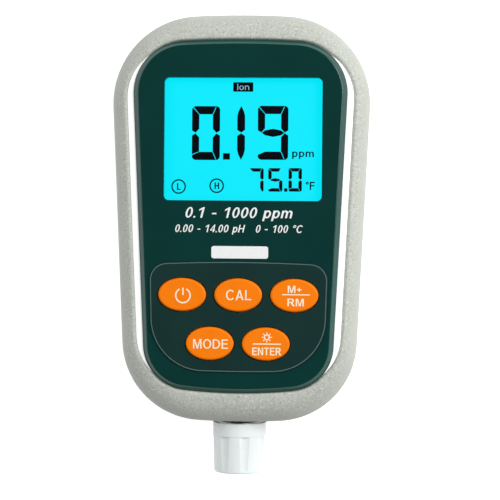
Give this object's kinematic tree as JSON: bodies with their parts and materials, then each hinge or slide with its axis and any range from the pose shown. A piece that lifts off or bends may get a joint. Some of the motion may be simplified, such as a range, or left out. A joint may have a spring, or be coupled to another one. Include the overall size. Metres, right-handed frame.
{
  "type": "portable ion meter",
  "caption": "Hand-held water-test meter with a lit display, oval keys, a screwed battery door and a round probe socket with a turning collar.",
  "frame": {"origin": "under the middle of the whole meter, on the plane that its back rests on", "axes": "+Y from the probe socket towards the display end, +X to the right as the face is read, +Z out of the face; the meter lies on its back"},
  "size_m": [0.0676, 0.1204, 0.0299],
  "materials": {
    "case_grey": "fine grain",
    "panel_green": "gloss",
    "keypad_green": "satin",
    "trim_bright": "gloss",
    "key_orange": "satin",
    "clear_lens": "polished",
    "display_glass": "backlit",
    "display_tray": "satin",
    "collar_white": "satin",
    "seal_rubber": "matte",
    "seal_silicone": "matte",
    "adhesive": "matte",
    "board_green": "solder mask",
    "black_plastic": "matte",
    "insulator": "matte",
    "bright_metal": "plated",
    "brass": "machined",
    "plated_brass": "nickel plated",
    "cell_sleeve": "printed sleeve",
    "lead_jacket": "satin"
  },
  "bodies": {
    "meter": {"front_housing": "case_grey", "rear_housing": "case_grey", "housing_seal": "seal_rubber", "trim_frame": "trim_bright", "face_panel": "panel_green", "panel_adhesive": "adhesive", "display_window": "clear_lens", "keypad_overlay": "keypad_green", "keypad_seal": "seal_silicone", "key_switches": "black_plastic", "main_board": "board_green", "board_chips": "black_plastic", "input_shield": "bright_metal", "buzzer": "black_plastic", "board_screws": "bright_metal", "lcd_glass": "display_glass", "backlight_panel": "display_tray", "elastomer_strips": "seal_silicone", "lcd_frame": "black_plastic", "plate_contacts": "bright_metal", "spring_contacts": "bright_metal", "door_inserts": "brass", "housing_screws": "bright_metal", "threaded_inserts": "brass", "socket_shell": "plated_brass", "socket_insert": "insulator", "socket_contacts": "brass", "socket_gasket": "seal_rubber", "lock_washer": "bright_metal", "socket_nut": "plated_brass", "collar_ring": "bright_metal", "socket_leads": "lead_jacket", "battery_1": "cell_sleeve", "battery_2": "cell_sleeve", "battery_3": "cell_sleeve"},
    "power_key": {"key_power": "key_orange", "plunger_power": "black_plastic"},
    "calibrate_key": {"key_calibrate": "key_orange", "plunger_calibrate": "black_plastic"},
    "memory_key": {"key_memory": "key_orange", "plunger_memory": "black_plastic"},
    "mode_key": {"key_mode": "key_orange", "plunger_mode": "black_plastic"},
    "enter_key": {"key_enter": "key_orange", "plunger_enter": "black_plastic"},
    "collar": {"socket_collar": "collar_white"},
    "door": {"battery_door": "case_grey", "door_seal": "seal_rubber"},
    "upper_door_screw": {"door_screw_upper": "bright_metal"},
    "lower_door_screw": {"door_screw_lower": "bright_metal"}
  },
  "joints": [
    {"name": "power_key_press", "type": "slide", "parent": "meter", "child": "power_key", "axis": [0, 0, -1], "range_m": [0, 0.0005], "stiffness_N_per_m": 1500},
    {"name": "calibrate_key_press", "type": "slide", "parent": "meter", "child": "calibrate_key", "axis": [0, 0, -1], "range_m": [0, 0.0005], "stiffness_N_per_m": 1500},
    {"name": "memory_key_press", "type": "slide", "parent": "meter", "child": "memory_key", "axis": [0, 0, -1], "range_m": [0, 0.0005], "stiffness_N_per_m": 1500},
    {"name": "mode_key_press", "type": "slide", "parent": "meter", "child": "mode_key", "axis": [0, 0, -1], "range_m": [0, 0.0005], "stiffness_N_per_m": 1500},
    {"name": "enter_key_press", "type": "slide", "parent": "meter", "child": "enter_key", "axis": [0, 0, -1], "range_m": [0, 0.0005], "stiffness_N_per_m": 1500},
    {"name": "collar_turn", "type": "hinge", "parent": "meter", "child": "collar", "pos_m": [0, -0.055, 0.015], "axis": [0, -1, 0], "continuous": true},
    {"name": "door_lift_off", "type": "slide", "parent": "meter", "child": "door", "axis": [0, 0, -1], "range_m": [0, 0.02]},
    {"name": "upper_door_screw_turn", "type": "hinge", "parent": "door", "child": "upper_door_screw", "pos_m": [0, 0.04135, 0.002], "axis": [0, 0, -1], "continuous": true},
    {"name": "lower_door_screw_turn", "type": "hinge", "parent": "door", "child": "lower_door_screw", "pos_m": [0, -0.02165, 0.002], "axis": [0, 0, -1], "continuous": true}
  ]
}
